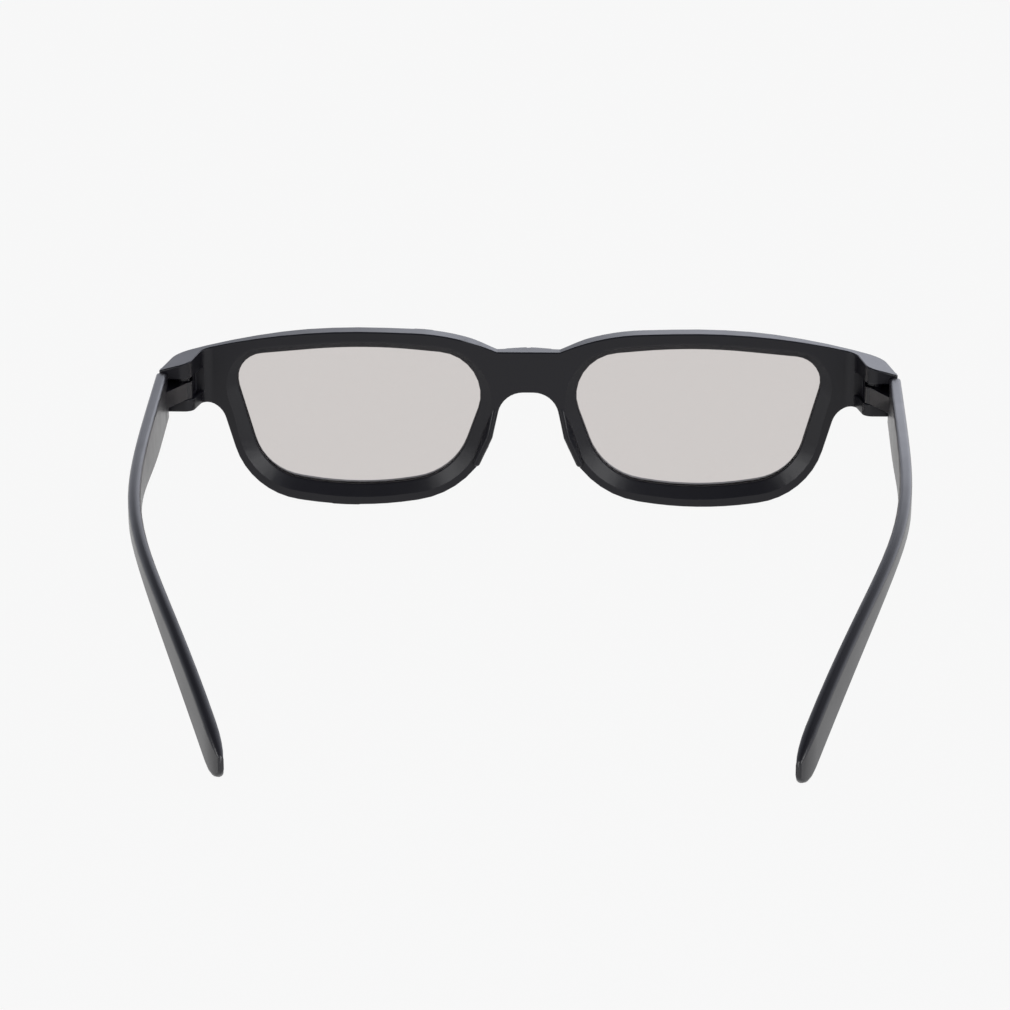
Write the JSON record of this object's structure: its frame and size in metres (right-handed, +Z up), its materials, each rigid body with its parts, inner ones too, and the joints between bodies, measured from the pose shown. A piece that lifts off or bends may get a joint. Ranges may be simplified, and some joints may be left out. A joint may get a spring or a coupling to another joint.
{
  "type": "3d glasses",
  "caption": "Passive 3-D glasses with a moulded full-rim front, moulded nose pads, polarising film lenses and folding temples with curved ear ends.",
  "frame": {"origin": "on the ground under the middle of the open glasses' bounding box", "axes": "+X to the wearer's right, +Y forwards out of the front face, +Z up; temples open and pointing to -Y"},
  "size_m": [0.1416, 0.1434, 0.0349],
  "materials": {
    "front_plastic": "satin moulded",
    "temple_plastic": "satin moulded",
    "pin_steel": "plain",
    "polariser_sheet": "clear grey film",
    "retarder_sheet": "clear film"
  },
  "bodies": {
    "front": {"front_frame": "front_plastic", "left_hinge_pin": "pin_steel", "right_hinge_pin": "pin_steel", "left_polariser_film": "polariser_sheet", "right_polariser_film": "polariser_sheet", "left_retarder_film": "retarder_sheet", "right_retarder_film": "retarder_sheet"},
    "left_arm": {"left_temple": "temple_plastic"},
    "right_arm": {"right_temple": "temple_plastic"}
  },
  "joints": [
    {"name": "left_temple_fold", "type": "hinge", "parent": "front", "child": "left_arm", "pos_m": [-0.0666, 0.06189, 0.025], "axis": [0, 0, 1], "range_deg": [0, 81]},
    {"name": "right_temple_fold", "type": "hinge", "parent": "front", "child": "right_arm", "pos_m": [0.0666, 0.06189, 0.025], "axis": [0, 0, -1], "range_deg": [0, 68]}
  ]
}
